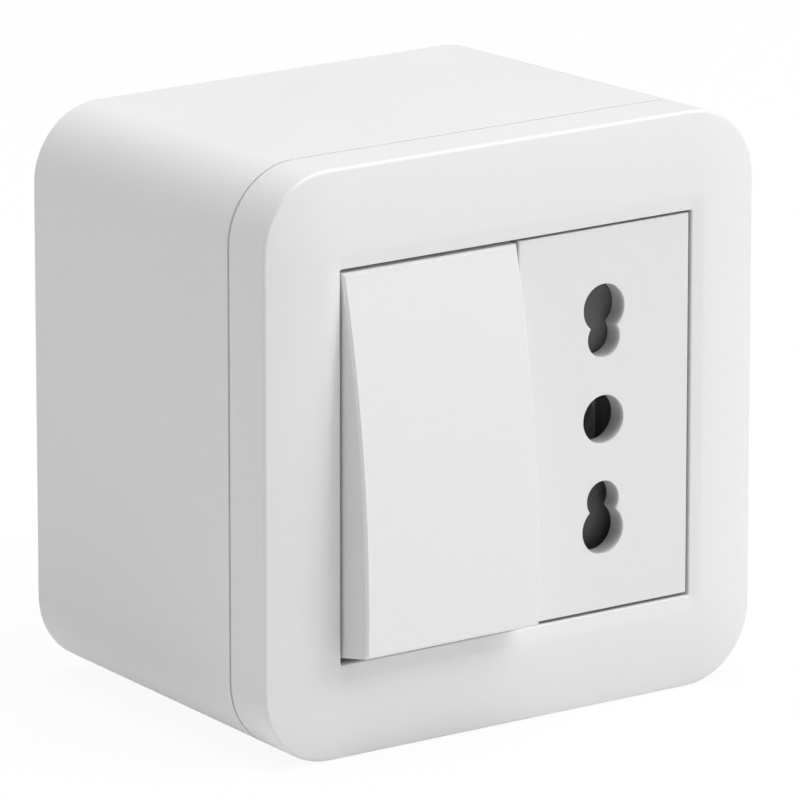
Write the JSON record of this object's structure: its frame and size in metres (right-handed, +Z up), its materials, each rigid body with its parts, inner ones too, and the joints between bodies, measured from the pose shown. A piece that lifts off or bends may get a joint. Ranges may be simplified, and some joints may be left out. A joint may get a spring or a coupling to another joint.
{
  "type": "switch and socket combination",
  "caption": "Surface-mounted rocker switch and shuttered two-size socket side by side in one white box.",
  "frame": {"origin": "centre of the back face, which lies on the wall", "axes": "+Y into the wall, the front looks along -Y, +Z up, +X to the right as seen from the front"},
  "size_m": [0.0682, 0.0533, 0.0682],
  "materials": {
    "white_plastic": "satin white",
    "grey_plastic": "moulded grey",
    "natural_plastic": "smooth",
    "shutter_plastic": "smooth grey",
    "brass": "stamped",
    "copper_alloy": "stamped",
    "silver": "bright",
    "spring_steel": "drawn wire",
    "screw_steel": "zinc plated",
    "zinc_steel": "zinc plated"
  },
  "bodies": {
    "housing": {"surface_box": "white_plastic", "cover_frame": "white_plastic", "support_frame": "grey_plastic", "support_screws": "screw_steel", "switch_plate": "white_plastic", "switch_base": "grey_plastic", "common_contact": "brass", "fixed_contact": "brass", "fixed_contact_tip": "silver", "switch_clamp_plates": "zinc_steel", "switch_terminal_screws": "screw_steel", "socket_face": "white_plastic", "socket_base": "grey_plastic", "shutter_spring": "spring_steel", "line_contact": "copper_alloy", "neutral_contact": "copper_alloy", "earth_contact": "copper_alloy", "socket_clamp_plates": "zinc_steel", "socket_terminal_screws": "screw_steel"},
    "rocker": {"rocker": "white_plastic", "plunger_spring": "spring_steel"},
    "plunger": {"plunger": "natural_plastic"},
    "contact_blade": {"contact_blade": "copper_alloy", "moving_contact_tip": "silver"},
    "shutter": {"shutter": "shutter_plastic"}
  },
  "joints": [
    {"name": "rocker_hinge", "type": "hinge", "parent": "housing", "child": "rocker", "pos_m": [-0.0122, -0.0449, 0], "axis": [1, 0, 0], "range_deg": [0, 12]},
    {"name": "plunger_slide", "type": "slide", "parent": "rocker", "child": "plunger", "axis": [0, -0.9945, 0.1045], "range_m": [0, 0.0005], "stiffness_N_per_m": 600, "springref_m": -0.001, "deforming": ["plunger_spring"]},
    {"name": "contact_blade_hinge", "type": "hinge", "parent": "housing", "child": "contact_blade", "pos_m": [-0.0122, -0.03198, 0], "axis": [1, 0, 0], "range_deg": [-19, 0]},
    {"name": "shutter_slide", "type": "slide", "parent": "housing", "child": "shutter", "axis": [1, 0, 0], "range_m": [0, 0.0062], "stiffness_N_per_m": 50, "springref_m": -0.002, "deforming": ["shutter_spring"]}
  ],
  "couplings": [
    {"joint": "contact_blade_hinge", "follows": "rocker_hinge", "ratio": -1.5833}
  ]
}
